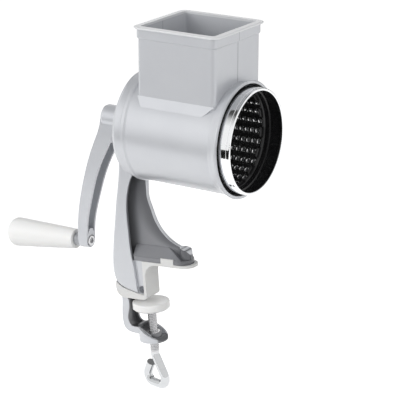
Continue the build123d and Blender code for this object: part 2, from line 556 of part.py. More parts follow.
def clamp_screw():
    """Threaded rod with a trapped head on top and its lower end bent into a triangular loop."""
    top = PAD_TOP - PAD_T + 5.1
    neck = PAD_TOP - PAD_T - 0.8
    corner = 7.0
    path = FilletPolyline((0, 0, neck), (0, 0, LOOP_TOP), (LOOP_HALF, 0, LOOP_BASE), (-LOOP_HALF, 0, LOOP_BASE),
                          (-6.3, 0, LOOP_TOP - 9.0), radius=corner)
    disc = Plane(origin=(0, 0, neck), z_dir=(0, 0, -1)) * Circle(SCREW_R)
    rod = sweep(disc, path=path)
    head = Pos(0, 0, top - 2.9) * Cylinder(5.2, 2.9, align=(Align.CENTER, Align.CENTER, Align.MIN))
    stem = Pos(0, 0, neck - 0.5) * Cylinder(3.0, top - neck - 0.5, align=(Align.CENTER, Align.CENTER, Align.MIN))
    return Rot(0, 0, LOOP_TURN) * (rod + head + stem)


def main():
    """Build and write every piece."""
    save(TO_DRUM * drum_wall(), "drum_wall")
    save(TO_DRUM * drum_band(), "drum_front_band")
    save(TO_DRUM * drum_plate(), "drum_end_plate")
    save(TO_DRUM * drum_spindle(), "drum_shaft")
    save(TO_DRUM * mouth_seal(), "mouth_seal")
    save(TO_DRUM * housing(), "drum_housing")
    save(stand(), "stand")
    save(TO_DRUM * shaft_bush(), "shaft_bush")
    save(jaw_liner(), "jaw_liner")
    save(arm(), "crank_arm")
    save(TO_DRUM * hub_insert(), "hub_insert")
    save(TO_DRUM * thrust_washer(), "thrust_washer")
    save(grip(), "handle_grip")
    save(grip_plug(), "grip_plug")
    save(grip_sleeve(), "grip_sleeve")
    save(grip_spacer(), "grip_spacer")
    save(handle_bolt(), "handle_bolt")
    save(bolt_washer(), "bolt_washer")
    save(grip_nut(), "grip_nut")
    save(bracket(), "clamp_bracket")
    save(clamp_nut(), "clamp_nut")
    save(bracket_screws(), "bracket_screws")
    save(pad(), "pressure_pad")
    save(pad_ring(), "pad_ring")
    save(clamp_screw(), "clamp_screw")


main()
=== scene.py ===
"""Looks for a hand cranked rotary drum grater that clamps to a worktop.

Every length is in metres and every place is in the part's own frame: +Z is up, +X is the way
the food comes out of the drum, and the origin is the middle of the clamping face.
"""
import logging
import math
from dataclasses import dataclass, field, replace
from enum import Enum

import bpy
import numpy as np
from mathutils import Matrix, Vector


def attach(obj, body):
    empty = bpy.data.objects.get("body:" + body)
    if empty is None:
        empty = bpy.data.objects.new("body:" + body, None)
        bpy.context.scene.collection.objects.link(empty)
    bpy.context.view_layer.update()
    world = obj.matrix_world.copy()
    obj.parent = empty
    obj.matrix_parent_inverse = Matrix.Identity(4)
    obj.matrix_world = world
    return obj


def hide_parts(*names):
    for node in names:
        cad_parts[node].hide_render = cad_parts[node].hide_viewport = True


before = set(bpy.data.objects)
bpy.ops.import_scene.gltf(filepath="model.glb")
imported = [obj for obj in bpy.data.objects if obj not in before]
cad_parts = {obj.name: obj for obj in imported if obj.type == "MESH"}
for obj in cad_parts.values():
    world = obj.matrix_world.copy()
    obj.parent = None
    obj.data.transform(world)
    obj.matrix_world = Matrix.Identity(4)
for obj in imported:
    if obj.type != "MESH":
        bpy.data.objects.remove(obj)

log = logging.getLogger("grater")
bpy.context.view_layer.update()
MM = 0.001
DIP = math.radians(4.73)
DRUM_AXIS = np.array([math.cos(DIP), 0.0, -math.sin(DIP)])
DRUM_UP = np.array([math.sin(DIP), 0.0, math.cos(DIP)])
DRUM_FRONT = np.array([0.0892, 0.0, 0.1161])
SCREW_X = -0.030
Feed = bpy.types.NodeSocket | float | tuple
Colour = tuple[float, float, float, float]


class Slot(Enum):
    """Material slot names of the record; nothing in this script uses them."""

    DRUM = "drum_steel"
    GRIP = "grip_white"
    SCREW = "screw_chrome"


# ---------------------------------------------------------------------------------------------
# Meshes from arrays
# ---------------------------------------------------------------------------------------------

def to_part(along: np.ndarray, across: np.ndarray, up: np.ndarray) -> np.ndarray:
    """Turn drum coordinates into part coordinates.

    A point is front centre + along * drum axis + across * Y + up * the drum's own upward axis.

    Args:
        along: Station on the drum axis, 0 at the front rim and negative behind it.
        across: Sideways distance from the axis.
        up: Distance above the axis.

    Returns:
        Array of points with a last axis of three.
    """
    side = np.array([0.0, 1.0, 0.0])
    return (DRUM_FRONT + along[..., None] * DRUM_AXIS + across[..., None] * side
            + up[..., None] * DRUM_UP)


def grid_quads(rows: int, cols: int, ring: bool) -> np.ndarray:
    """Quads of a grid of points that are numbered row by row.

    Args:
        rows: Number of rows of points.
        cols: Number of points in a row.
        ring: Whether each row closes on itself.

    Returns:
        Array of quads, four point numbers each.
    """
    r = np.arange(rows - 1)[:, None]
    c = np.arange(cols if ring else cols - 1)[None, :]
    n = (c + 1) % cols
    quads = np.stack([r * cols + c, r * cols + n, (r + 1) * cols + n, (r + 1) * cols + c], -1)
    return quads.reshape(-1, 4)


def signed_volume(points: np.ndarray, quads: np.ndarray) -> float:
    """Volume inside closed quads: the sum of a . (b x c) / 6 over their triangles.

    Args:
        points: Array of points.
        quads: Array of quads.

    Returns:
        The volume, negative where the quads face inwards.
    """
    a, b, c, d = (points[quads[:, k]] for k in range(4))
    one = np.einsum("ij,ij->i", a, np.cross(b, c)).sum()
    two = np.einsum("ij,ij->i", a, np.cross(c, d)).sum()
    return float(one + two) / 6.0


def make_piece(name: str, points: np.ndarray, quads: np.ndarray, body: str) -> bpy.types.Object:
    """Make a closed, smooth object from points and quads and let it ride on a body.

    Args:
        name: Name of the object.
        points: Array of points, three numbers each.
        quads: Array of quads; a triangle repeats its last point.
        body: Moving body of the part that carries the piece.

    Returns:
        The new object, at the origin.
    """
    if signed_volume(points, quads) < 0:
        quads = quads[:, ::-1]
    faces = [list(dict.fromkeys(q)) for q in quads.tolist()]
    mesh = bpy.data.meshes.new(name)
    mesh.from_pydata(points.tolist(), [], faces)
    mesh.polygons.foreach_set("use_smooth", np.ones(len(faces), bool))
    mesh.update()
    piece = bpy.data.objects.new(name, mesh)
    bpy.context.scene.collection.objects.link(piece)
    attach(piece, body)
    log.info("made %s: %d faces on %s", name, len(faces), body)
    return piece


def merged(points: np.ndarray, quads: np.ndarray,
           step: float = 2e-6) -> tuple[np.ndarray, np.ndarray]:
    """Join points that share a place, to the nearest step.

    Args:
        points: Array of points.
        quads: Array of quads.
        step: Size of the rounding grid.

    Returns:
        The points kept and the quads renumbered to them.
    """
    keys = np.round(points / step).astype(np.int64)
    _, first, back = np.unique(keys, axis=0, return_index=True, return_inverse=True)
    return points[first], back.reshape(-1)[quads]


def capped(rings: np.ndarray) -> tuple[np.ndarray, np.ndarray]:
    """Close a stack of rings with a point at the middle of its first and last ring.

    Args:
        rings: Points as (ring, place round the ring, 3).

    Returns:
        Points and quads of the closed surface.
    """
    rows, cols, _ = rings.shape
    start = np.repeat(rings[:1].mean(axis=1, keepdims=True), cols, axis=1)
    end = np.repeat(rings[-1:].mean(axis=1, keepdims=True), cols, axis=1)
    stack = np.concatenate([start, rings, end])
    points, quads = merged(stack.reshape(-1, 3), grid_quads(rows + 2, cols, True))
    different = (np.diff(np.sort(quads, axis=1), axis=1) != 0).sum(axis=1)
    return points, quads[different >= 2]


def smooth_step(x: np.ndarray) -> np.ndarray:
    """Ease from 0 to 1: 3x^2 - 2x^3."""
    x = np.clip(x, 0.0, 1.0)
    return x * x * (3.0 - 2.0 * x)


# ---------------------------------------------------------------------------------------------
# Shader graphs
# ---------------------------------------------------------------------------------------------

class Graph:
    """Small helper that adds nodes to a tree and joins them."""

    def __init__(self, tree: bpy.types.NodeTree) -> None:
        """Keep the tree that nodes are added to."""
        self.tree = tree

    def add(self, kind: str, sockets: dict | None = None, **settings) -> bpy.types.Node:
        """Add a node.

        Args:
            kind: Type of the node without its "ShaderNode" prefix.
            sockets: Input name or number to a value, or to another node's output.
            **settings: Properties of the node.

        Returns:
            The new node.
        """
        node = self.tree.nodes.new("ShaderNode" + kind)
        for key, value in settings.items():
            setattr(node, key, value)
        for key, value in (sockets or {}).items():
            self.feed(node.inputs[key], value)
        return node

    def feed(self, socket: bpy.types.NodeSocket, value: Feed) -> None:
        """Link an output to a socket, or set the socket's own value.

        Args:
            socket: Input socket.
            value: Output socket, or the value itself.
        """
        if isinstance(value, bpy.types.NodeSocket):
            self.tree.links.new(value, socket)
        else:
            socket.default_value = value

    def math(self, operation: str, a: Feed, b: Feed = 0.0) -> bpy.types.NodeSocket:
        """Add a Math node and return its output."""
        return self.add("Math", {0: a, 1: b}, operation=operation).outputs[0]

    def ramp(self, value: Feed, low: float, high: float, out_low: float = 0.0,
             out_high: float = 1.0) -> bpy.types.NodeSocket:
        """Map a value smoothly from one range to another.

        Args:
            value: Socket or number to map.
            low: Value that gives out_low.
            high: Value that gives out_high.
            out_low: Result at low and beyond.
            out_high: Result at high and beyond.

        Returns:
            The output socket.
        """
        node = self.add("MapRange", {"Value": value, "From Min": low, "From Max": high,
                                     "To Min": out_low, "To Max": out_high},
                        interpolation_type="SMOOTHSTEP")
        return node.outputs[0]

    def ramp_line(self, value: Feed, low: float, high: float) -> bpy.types.NodeSocket:
        """Map a value from one range to 0-1 in a straight line and return the output."""
        node = self.add("MapRange", {"Value": value, "From Min": low, "From Max": high})
        return node.outputs[0]

    def dot(self, vector: bpy.types.NodeSocket, axis: np.ndarray) -> bpy.types.NodeSocket:
        """Measure a vector along a fixed axis and return the length."""
        node = self.add("VectorMath", {0: vector, 1: tuple(axis)}, operation="DOT_PRODUCT")
        return node.outputs["Value"]

    def point(self) -> bpy.types.Node:
        """Split the surface point into X, Y and Z."""
        return self.add("SeparateXYZ", {0: self.add("TexCoord").outputs["Object"]})

    def between(self, mask: Feed, low: float, high: float, socket: bpy.types.NodeSocket) -> None:
        """Let a mask carry a socket from a low value at 0 to a high value at 1."""
        self.feed(socket, self.ramp(mask, 0.0, 1.0, low, high))

    def blend(self, factor: Feed, a: Feed, b: Feed) -> bpy.types.NodeSocket:
        """Mix two colours.

        Args:
            factor: 0 for the first colour, 1 for the second.
            a: First colour.
            b: Second colour.

        Returns:
            The mixed colour's socket.
        """
        node = self.add("Mix", data_type="RGBA")
        self.feed(node.inputs[0], factor)
        self.feed(node.inputs[6], a)
        self.feed(node.inputs[7], b)
        return node.outputs[2]


def colour(red: float, green: float, blue: float) -> Colour:
    """Linear colour of a display colour.

    Args:
        red: Red, 0 to 255.
        green: Green, 0 to 255.
        blue: Blue, 0 to 255.

    Returns:
        The colour as the shaders take it.
    """
    def one(value: float) -> float:
        """Linear value of one channel."""
        v = value / 255.0
        return v / 12.92 if v <= 0.04045 else ((v + 0.055) / 1.055) ** 2.4
    return one(red), one(green), one(blue), 1.0


class Effects:
    """Node groups shared by the finishes. Each gives masks, values and normals only."""

    CLOUDS = 28.0
    RUB_STRETCH = (90.0, 90.0, 900.0)
    RUB_TURN = (0.4, 0.2, 0.3)
    LATHE_DRIFT = 60.0

    def __init__(self) -> None:
        """Build the groups once."""
        self.grain = self._grain()
        self.lines = self._lines()
        self.depth = self._depth()
        self.radial = self._radial()

    @staticmethod
    def _group(name: str, inputs: dict[str, float], outputs: dict[str, str]) -> tuple:
        """Start a node group with named sockets.

        Args:
            name: Name of the group.
            inputs: Number sockets and their defaults.
            outputs: Output sockets and their kinds.

        Returns:
            The tree, its graph, its input node and its output node.
        """
        tree = bpy.data.node_groups.new(name, "ShaderNodeTree")
        for key, value in inputs.items():
            socket = tree.interface.new_socket(key, in_out="INPUT", socket_type="NodeSocketFloat")
            socket.default_value = value
        for key, kind in outputs.items():
            tree.interface.new_socket(key, in_out="OUTPUT", socket_type="NodeSocket" + kind)
        graph = Graph(tree)
        start = tree.nodes.new("NodeGroupInput")
        end = tree.nodes.new("NodeGroupOutput")
        return tree, graph, start, end

    def _grain(self) -> bpy.types.NodeTree:
        """Cloudy tone, fine pores and faint rub marks of a moulded or painted skin.

        Returns:
            The group's tree.
        """
        tree, g, start, end = self._group("skin grain", {"Size": 0.0012, "Depth": 0.00002},
                                          {"Tone": "Float", "Rub": "Float", "Normal": "Vector"})
        place = g.add("TexCoord").outputs["Object"]
        pores = g.math("DIVIDE", 1.0, start.outputs["Size"])
        fine = g.add("TexNoise", {"Vector": place, "Scale": pores, "Detail": 3.0, "Roughness": 0.55})
        broad = g.add("TexNoise", {"Vector": place, "Scale": self.CLOUDS, "Detail": 4.0,
                                   "Roughness": 0.6})
        streak = g.add("Mapping", {"Vector": place, "Scale": self.RUB_STRETCH,
                                   "Rotation": self.RUB_TURN})
        rub = g.add("TexNoise", {"Vector": streak.outputs[0], "Scale": 1.0, "Detail": 5.0,
                                 "Roughness": 0.7})
        bump = g.add("Bump", {"Height": fine.outputs[0], "Distance": start.outputs["Depth"],
                              "Strength": 1.0})
        g.feed(end.inputs["Tone"], g.ramp(broad.outputs[0], 0.3, 0.7))
        g.feed(end.inputs["Rub"], g.ramp(rub.outputs[0], 0.52, 0.78))
        g.feed(end.inputs["Normal"], bump.outputs[0])
        return tree

    def _lines(self) -> bpy.types.NodeTree:
        """Fine turning lines round the drum axis, as a lathe or a polishing belt leaves them.

        Returns:
            The group's tree.
        """
        tree, g, start, end = self._group("turning lines", {"Pitch": 0.0004, "Depth": 0.000004},
                                          {"Tone": "Float", "Normal": "Vector"})
        place = g.add("TexCoord").outputs["Object"]
        along = g.dot(place, DRUM_AXIS)
        scaled = g.math("DIVIDE", along, start.outputs["Pitch"])
        drift = g.add("TexNoise", {"Vector": place, "Scale": self.LATHE_DRIFT, "Detail": 2.0})
        station = g.math("ADD", scaled, g.math("MULTIPLY", drift.outputs[0], 0.8))
        wave = g.add("TexNoise", {"W": station, "Detail": 2.0}, noise_dimensions="1D")
        bump = g.add("Bump", {"Height": wave.outputs[0], "Distance": start.outputs["Depth"],
                              "Strength": 1.0})
        g.feed(end.inputs["Tone"], g.ramp(wave.outputs[0], 0.3, 0.7))
        g.feed(end.inputs["Normal"], bump.outputs[0])
        return tree

    def _depth(self) -> bpy.types.NodeTree:
        """Mask of the channels beside a web, where painted shade goes: 1 where |y| is under Inner, 0
        past Outer.

        Returns:
            The group's tree.
        """
        tree, g, start, end = self._group("painted channel shade mask", {"Inner": 0.004, "Outer": 0.008},
                                          {"Mask": "Float"})
        aside = g.math("ABSOLUTE", g.point().outputs["Y"])
        low = g.math("SUBTRACT", aside, start.outputs["Inner"])
        span = g.math("SUBTRACT", start.outputs["Outer"], start.outputs["Inner"])
        g.feed(end.inputs["Mask"], g.ramp(g.math("DIVIDE", low, span), 0.0, 1.0, 1.0, 0.0))
        return tree

    def _radial(self) -> bpy.types.NodeTree:
        """Place of a surface point: distance from the drum's axis, station along it, height over it.

        Returns:
            The group's tree.
        """
        tree, g, _, end = self._group("drum place", {}, {"Radius": "Float", "Station": "Float",
                                                         "Height": "Float"})
        place = g.add("TexCoord").outputs["Object"]
        rel = g.add("VectorMath", {0: place, 1: tuple(DRUM_FRONT)}, operation="SUBTRACT").outputs[0]
        along = g.dot(rel, DRUM_AXIS)
        axis = g.add("VectorMath", {0: tuple(DRUM_AXIS), "Scale": along}, operation="SCALE").outputs[0]
        off = g.add("VectorMath", {0: rel, 1: axis}, operation="SUBTRACT").outputs[0]
        g.feed(end.inputs["Radius"], g.add("VectorMath", {0: off}, operation="LENGTH").outputs["Value"])
        g.feed(end.inputs["Station"], along)
        g.feed(end.inputs["Height"], g.dot(rel, DRUM_UP))
        return tree


@dataclass(frozen=True)
class Paint:
    """Satin light grey skin of the castings and of the housing.

    Where inner and outer are set, the colour deepens from outer to inner distance from the middle plane
    y = 0: painted shade down in the channels of a cast web.
    """

    name: str
    light: Colour
    shade: Colour
    roughness: float = 0.36
    grain: float = 0.0009
    depth: float = 0.000012
    coat: float = 0.25
    metallic: float = 0.26
    hollow_shade: Colour = (0.2, 0.2, 0.21, 1.0)
    inner: float = 0.0
    outer: float = 0.0

    def build(self, effects: Effects) -> bpy.types.Material:
        """Make the material: a faint cloudy tone, fine pores and softly rubbed patches.

        Args:
            effects: Shared node groups.

        Returns:
            The material.
        """
        mat, g, shader = new_material(self.name)
        skin = g.add("Group", node_tree=effects.grain)
        skin.inputs["Size"].default_value = self.grain
        skin.inputs["Depth"].default_value = self.depth
        tone = g.blend(g.math("MULTIPLY", skin.outputs["Tone"], 0.5), self.light, self.shade)
        # Painted shade: the channels beside the web darken towards y = 0.
        if self.outer > 0.0:
            deep = g.add("Group", node_tree=effects.depth)
            deep.inputs["Inner"].default_value = self.inner
            deep.inputs["Outer"].default_value = self.outer
            tone = g.blend(deep.outputs["Mask"], tone, self.hollow_shade)
        g.feed(shader.inputs["Base Color"], tone)
        g.between(skin.outputs["Rub"], self.roughness, self.roughness + 0.07, shader.inputs["Roughness"])
        g.feed(shader.inputs["Normal"], skin.outputs["Normal"])
        shader.inputs["Metallic"].default_value = self.metallic
        shader.inputs["Coat Weight"].default_value = self.coat
        shader.inputs["Coat Roughness"].default_value = 0.22
        shader.inputs["Specular IOR Level"].default_value = 0.5
        return mat


@dataclass(frozen=True)
class HousingPaint:
    """Housing skin, paler from the rim's underside up, with a fine dark parting line on the hopper's
    ends.
    """

    name: str
    skin: Paint
    rim: Colour
    seam: Colour
    rim_height: float = 0.0908
    hopper_foot: float = 0.0478
    seam_half: float = 0.0003

    def build(self, effects: Effects) -> bpy.types.Material:
        """Make the material: the skin, paler above the rim's underside, darker along y = 0.

        Args:
            effects: Shared node groups.

        Returns:
            The material.
        """
        mat, g, shader, tone = changed(self.name, self.skin, effects)
        place = g.add("Group", node_tree=effects.radial)
        top = g.ramp(place.outputs["Height"], self.rim_height, self.rim_height + 0.0004)
        tone = g.blend(top, tone, self.rim)
        aside = g.math("ABSOLUTE", g.point().outputs["Y"])
        line = g.ramp(aside, self.seam_half * 0.6, self.seam_half, 1.0, 0.0)
        tall = g.ramp(place.outputs["Height"], self.hopper_foot, self.hopper_foot + 0.0004)
        wall = g.math("SUBTRACT", 1.0, top)
        line = g.math("MULTIPLY", g.math("MULTIPLY", line, tall), wall)
        g.feed(shader.inputs["Base Color"], g.blend(line, tone, self.seam))
        return mat


@dataclass(frozen=True)
class PaintWithChannelShade:
    """Casting skin with painted shade down in the channels beside the web.

    The channel is where |y| is small, the point lies ahead of the rear wall, whose outer edge is a curve
    x(z), and outside the round dish. Towards the web's own front edge, another curve x(z), the painted
    shade darkens further, and a hair's width of that edge is left out of it, keeping the plain skin
    colour as a light edge where it catches light.
    """

    name: str
    skin: Paint
    # Painted shade of the channel: mid near the rear wall, deep towards the web's front edge.
    mid: Colour
    deep: Colour
    half: float = 0.0098
    wall: float = 0.0034
    dish: float = 0.0471
    base: float = 0.0022
    near: float = 0.003
    far: float = 0.020
    low: float = -0.010
    high: float = 0.090
    rear: tuple[tuple[float, float], ...] = (
        (-10, -61.1), (-1.3, -61.1), (9.9, -60.0), (37.9, -55.3),
        (56.4, -52.1), (70, -49.2), (84, -47.0), (90, -46.2))
    front: tuple[tuple[float, float], ...] = (
        (-10, 17), (14.5, 14.5), (15.6, 11.5), (17.6, 4.2), (24.9, -7.6),
        (36.3, -16.5), (50.3, -21.6), (58, -23.9), (65.3, -24.2), (90, -23.2))

    def _curve(self, g: Graph, height: bpy.types.NodeSocket, points: tuple) -> bpy.types.NodeSocket:
        """Read a curve x(z).

        Args:
            g: Graph to add to.
            height: Socket with the height z in metres.
            points: Pairs of z and x in millimetres.

        Returns:
            Socket with x in metres.
        """
        node = g.add("FloatCurve", {"Value": g.ramp_line(height, self.low, self.high)})
        curve = node.mapping.curves[0]
        spots = [((z * MM - self.low) / (self.high - self.low), (x + 70.0) / 100.0) for z, x in points]
        curve.points[0].location = spots[0]
        curve.points[1].location = spots[-1]
        for spot in spots[1:-1]:
            curve.points.new(*spot)
        node.mapping.update()
        return g.math("MULTIPLY", g.math("SUBTRACT", node.outputs[0], 0.7), 0.1)

    def build(self, effects: Effects) -> bpy.types.Material:
        """Make the material: the skin, mixed to the channel's painted shade by the masks.

        Args:
            effects: Shared node groups.

        Returns:
            The material.
        """
        mat, g, shader, tone = changed(self.name, self.skin, effects)
        point = g.point()
        place = g.add("Group", node_tree=effects.radial)
        rear = self._curve(g, point.outputs["Z"], self.rear)
        front = self._curve(g, point.outputs["Z"], self.front)
        inset = g.math("SUBTRACT", point.outputs["X"], rear)
        ahead = g.math("SUBTRACT", front, point.outputs["X"])
        aside = g.math("ABSOLUTE", point.outputs["Y"])
        masks = [g.ramp(aside, self.half, self.half + 0.0005, 1.0, 0.0),
                 g.ramp(inset, self.wall - 0.0008, self.wall),
                 g.ramp(place.outputs["Radius"], self.dish - 0.0002, self.dish + 0.0002),
                 g.ramp(point.outputs["Z"], self.base - 0.0003, self.base),
                 g.ramp(ahead, 0.0003, 0.0008)]
        channel = masks[0]
        for mask in masks[1:]:
            channel = g.math("MULTIPLY", channel, mask)
        # Painted shade: deeper towards the web's front edge, mixed in over the channel.
        depth = g.ramp(ahead, self.near, self.far, 1.0, 0.0)
        g.feed(shader.inputs["Base Color"], g.blend(channel, tone, g.blend(depth, self.mid, self.deep)))
        return mat


@dataclass(frozen=True)
class Moulding:
    """White plastic with a little depth under its surface."""

    name: str
    base: Colour
    roughness: float = 0.32
    grain: float = 0.0006
    depth: float = 0.000006
    glow: float = 0.08

    def build(self, effects: Effects) -> bpy.types.Material:
        """Make the material: white skin, slight tone drift and a soft sheen.

        Args:
            effects: Shared node groups.

        Returns:
            The material.
        """
        mat, g, shader = new_material(self.name)
        skin = g.add("Group", node_tree=effects.grain)
        skin.inputs["Size"].default_value = self.grain
        skin.inputs["Depth"].default_value = self.depth
        warm = tuple(c * k for c, k in zip(self.base, (0.965, 0.962, 0.955, 1.0)))
        drift = g.math("MULTIPLY", skin.outputs["Tone"], 0.6)
        g.feed(shader.inputs["Base Color"], g.blend(drift, self.base, warm))
        g.between(skin.outputs["Rub"], self.roughness, self.roughness + 0.1, shader.inputs["Roughness"])
        g.feed(shader.inputs["Normal"], skin.outputs["Normal"])
        shader.inputs["Subsurface Weight"].default_value = self.glow
        shader.inputs["Subsurface Radius"].default_value = (0.002, 0.0018, 0.0015)
        return mat


@dataclass(frozen=True)
class Metal:
    """Bare or plated metal with fine working marks."""

    name: str
    base: Colour
    dull: Colour
    roughness: float = 0.18
    spread: float = 0.1
    turned: bool = False
    depth: float = 0.000003
    metallic: float = 1.0

    def build(self, effects: Effects) -> bpy.types.Material:
        """Make the material: turning lines or a polished grain, with duller patches.

        Args:
            effects: Shared node groups.

        Returns:
            The material.
        """
        mat, g, shader = new_material(self.name)
        if self.turned:
            marks = g.add("Group", node_tree=effects.lines)
            marks.inputs["Depth"].default_value = self.depth
            mask = marks.outputs["Tone"]
        else:
            marks = g.add("Group", node_tree=effects.grain)
            marks.inputs["Size"].default_value = 0.0015
            marks.inputs["Depth"].default_value = self.depth
            mask = marks.outputs["Rub"]
        worn = g.math("MULTIPLY", mask, 0.6)
        g.feed(shader.inputs["Base Color"], g.blend(worn, self.base, self.dull))
        g.between(mask, self.roughness, self.roughness + self.spread, shader.inputs["Roughness"])
        g.feed(shader.inputs["Normal"], marks.outputs["Normal"])
        shader.inputs["Metallic"].default_value = self.metallic
        return mat


@dataclass(frozen=True)
class BandWithInsideShade:
    """Bright outside and front rim of a ring whose inside carries the drum's painted inside shade."""

    name: str
    bright: Metal
    inside_shade: Colour = (0.012, 0.012, 0.013, 1.0)
    edge: float = 0.0444
    dulling: float = 0.16

    def build(self, effects: Effects) -> bpy.types.Material:
        """Make the material: metal, changed to near-black painted shade inside the edge radius.

        Args:
            effects: Shared node groups.

        Returns:
            The material.
        """
        mat, g, shader, metal = changed(self.name, self.bright, effects)
        place = g.add("Group", node_tree=effects.radial)
        inside = g.ramp(place.outputs["Radius"], self.edge - 0.0001, self.edge + 0.0001, 1.0, 0.0)
        back = g.ramp(place.outputs["Station"], -0.0006, -0.0004, 1.0, 0.0)
        # Painted shade: inside the edge radius and behind the front rim the band goes near black.
        mask = g.math("MULTIPLY", inside, back)
        rough = shader.inputs["Roughness"].links[0].from_socket
        g.feed(shader.inputs["Base Color"], g.blend(mask, metal, self.inside_shade))
        g.feed(shader.inputs["Metallic"], g.math("SUBTRACT", 1.0, mask))
        duller = g.math("MULTIPLY", mask, self.dulling)
        g.feed(shader.inputs["Roughness"], g.math("ADD", rough, duller))
        return mat


@dataclass(frozen=True)
class Rubber:
    """Matt black rubber."""

    name: str
    base: Colour
    smooth: float = 0.46
    matt: float = 0.58

    def build(self, effects: Effects) -> bpy.types.Material:
        """Make the material: a dusty bloom over black with a fine grain.

        Args:
            effects: Shared node groups.

        Returns:
            The material.
        """
        mat, g, shader = new_material(self.name)
        skin = g.add("Group", node_tree=effects.grain)
        skin.inputs["Size"].default_value = 0.0005
        skin.inputs["Depth"].default_value = 0.00001
        bloom = tuple(min(1.0, c * 1.9 + 0.001) for c in self.base[:3]) + (1.0,)
        dust = g.math("MULTIPLY", skin.outputs["Rub"], 0.5)
        g.feed(shader.inputs["Base Color"], g.blend(dust, self.base, bloom))
        g.between(skin.outputs["Tone"], self.smooth, self.matt, shader.inputs["Roughness"])
        g.feed(shader.inputs["Normal"], skin.outputs["Normal"])
        shader.inputs["Specular IOR Level"].default_value = 0.1
        return mat


def new_material(name: str) -> tuple[bpy.types.Material, Graph, bpy.types.Node]:
    """Start a material.

    Args:
        name: Name of the finish.

    Returns:
        The material, its graph and its surface shader.
    """
    mat = bpy.data.materials.new(name)
    mat.use_nodes = True
    return mat, Graph(mat.node_tree), mat.node_tree.nodes["Principled BSDF"]


def changed(name: str, finish: Paint | Metal, effects: Effects) -> tuple:
    """Start a material from another finish, to change its colour by a mask.

    Args:
        name: Name of the new finish.
        finish: Finish to start from.
        effects: Shared node groups.

    Returns:
        The material, its graph, its surface shader and the socket of the colour so far.
    """
    mat = finish.build(effects)
    mat.name = name
    shader = mat.node_tree.nodes["Principled BSDF"]
    return mat, Graph(mat.node_tree), shader, shader.inputs["Base Color"].links[0].from_socket


def dress(nodes: dict[str, bpy.types.Material]) -> None:
    """Put each finish in the material slots of its node of the frame.

    Args:
        nodes: Node name to its material.
    """
    for name, mat in nodes.items():
        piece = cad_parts[name]
        for slot in piece.material_slots:
            slot.material = mat
        log.info("dressed %s in %s", name, mat.name)


# ---------------------------------------------------------------------------------------------
# Finishes
# ---------------------------------------------------------------------------------------------

GREY = colour(210, 212, 216)
GREY_SHADE = colour(204, 206, 211)
SILK_PAINT = Paint("satin grey paint", GREY, GREY_SHADE)
CAST_PAINT = Paint("satin grey casting", GREY, GREY_SHADE, roughness=0.34, grain=0.0014, depth=0.00002)
# The bracket's channels carry painted shade.
BRACKET_PAINT = replace(CAST_PAINT, name="satin grey bracket, painted channel shade", hollow_shade=colour(118, 119, 122),
                        inner=0.0075, outer=0.0090)
ARM_PAINT = replace(CAST_PAINT, name="satin grey arm")
# The stand's channels carry painted shade.
CHANNEL_SHADE_PAINT = PaintWithChannelShade("satin grey casting, painted channel shade", CAST_PAINT, colour(134, 135, 139),
                             colour(96, 97, 101))
HOUSING_PAINT = HousingPaint("satin grey housing", SILK_PAINT, colour(232, 233, 235),
                             colour(150, 151, 155))
COLLAR_PAINT = Paint("grey collar", colour(168, 170, 174), colour(158, 160, 165))
WHITE = Moulding("white moulding", colour(250, 250, 249))
SOFT_WHITE = Moulding("soft white liner", colour(228, 228, 227), roughness=0.5, grain=0.0004,
                      depth=0.00001, glow=0.12)
CHROME = Metal("polished chrome", (0.86, 0.87, 0.88, 1), (0.80, 0.81, 0.83, 1), 0.08, 0.03,
               depth=0.0000002)
WIRE_CHROME = Metal("chromed wire", (0.60, 0.61, 0.62, 1), (0.5, 0.51, 0.53, 1), 0.09, 0.08)
STEEL = Metal("machined steel", (0.6, 0.6, 0.61, 1), (0.45, 0.45, 0.46, 1), 0.24, 0.14)
SHEET_STEEL = Metal("bright sheet steel", (0.72, 0.73, 0.74, 1), (0.6, 0.61, 0.62, 1), 0.16, 0.1,
                    turned=True)
LIP_STEEL = Metal("cut edge steel", (0.9, 0.9, 0.9, 1), (0.7, 0.7, 0.71, 1), 0.2, 0.12)
# Near-black painted shade for the inside of the drum wall.
DRUM_INSIDE_SHADE = Metal("painted shade inside drum", (0.022, 0.022, 0.023, 1), (0.032, 0.032, 0.033, 1), 0.3, 0.1,
                   metallic=0.3)
BRASS = Metal("turned brass", (0.72, 0.52, 0.24, 1), (0.55, 0.38, 0.17, 1), 0.25, 0.12)
BRONZE = Metal("sintered bronze", (0.5, 0.33, 0.17, 1), (0.36, 0.24, 0.13, 1), 0.38, 0.15)
SEAL = Rubber("black seal rubber", (0.004, 0.004, 0.0045, 1))
NYLON = Moulding("natural nylon", colour(226, 222, 208), roughness=0.42)


# ---------------------------------------------------------------------------------------------
# Sub-assemblies
# ---------------------------------------------------------------------------------------------

